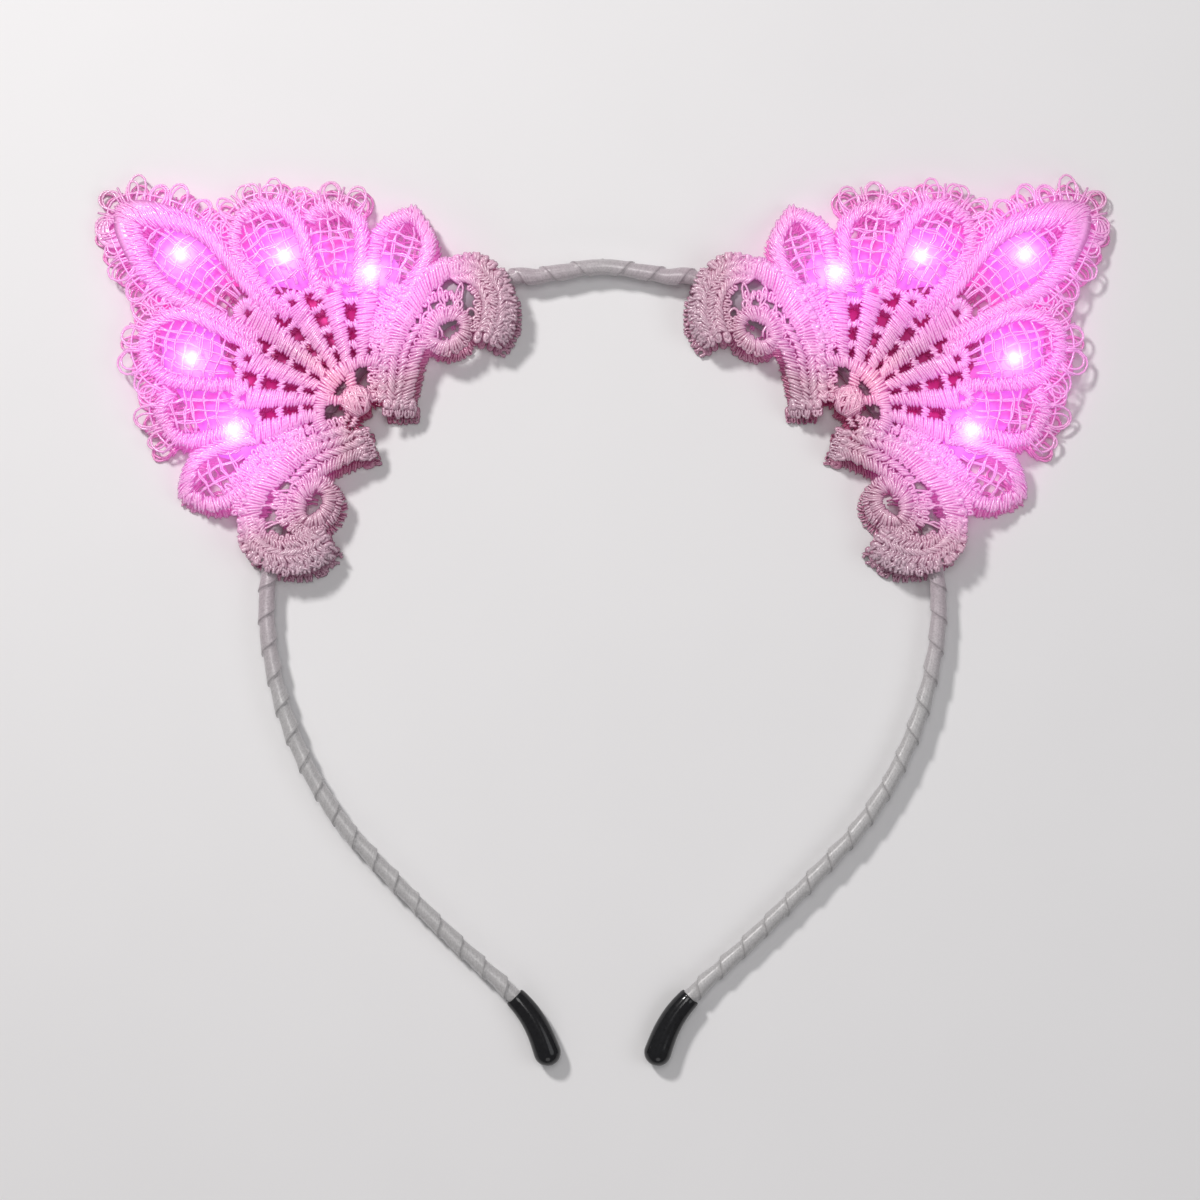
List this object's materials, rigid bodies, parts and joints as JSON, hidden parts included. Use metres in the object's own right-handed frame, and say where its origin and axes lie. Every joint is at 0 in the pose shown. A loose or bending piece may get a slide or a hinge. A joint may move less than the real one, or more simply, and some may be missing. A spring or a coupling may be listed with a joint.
{
  "type": "light-up cat ear headband",
  "caption": "Ribbon-wrapped wire headband with two corner cat ears of doubled scalloped lace, small lights between the lace layers and rubber caps on the band's ends.",
  "frame": {"origin": "middle of the outline, on the surface that the headband lies on", "axes": "+X from the left ear to the right ear as seen from the front, +Y from the end caps to the crown, +Z out of the front of the ears"},
  "size_m": [0.193, 0.1682, 0.0074],
  "materials": {
    "ribbon": "grey-white satin ribbon, wound on the slant",
    "rubber": "glossy black dipped rubber",
    "lace": "white satin-stitched thread lace, lit pink from inside",
    "light": "clear resin drop over a pink light",
    "wire": "thin enamelled lead wire",
    "film": "sheer film that spreads the light",
    "sleeve": "smooth grey-mauve shrunk sleeve"
  },
  "bodies": {
    "root": {"wrapped_band": "ribbon", "end_cap_left": "rubber", "battery_sleeve_left": "sleeve", "lace_front_left": "lace", "lace_back_left": "lace", "light_left_1": "light", "light_left_2": "light", "light_left_3": "light", "light_left_4": "light", "light_left_5": "light", "light_wire_left": "wire", "glow_film_left": "film", "end_cap_right": "rubber", "battery_sleeve_right": "sleeve", "lace_front_right": "lace", "lace_back_right": "lace", "light_right_1": "light", "light_right_2": "light", "light_right_3": "light", "light_right_4": "light", "light_right_5": "light", "light_wire_right": "wire", "glow_film_right": "film"}
  },
  "joints": []
}
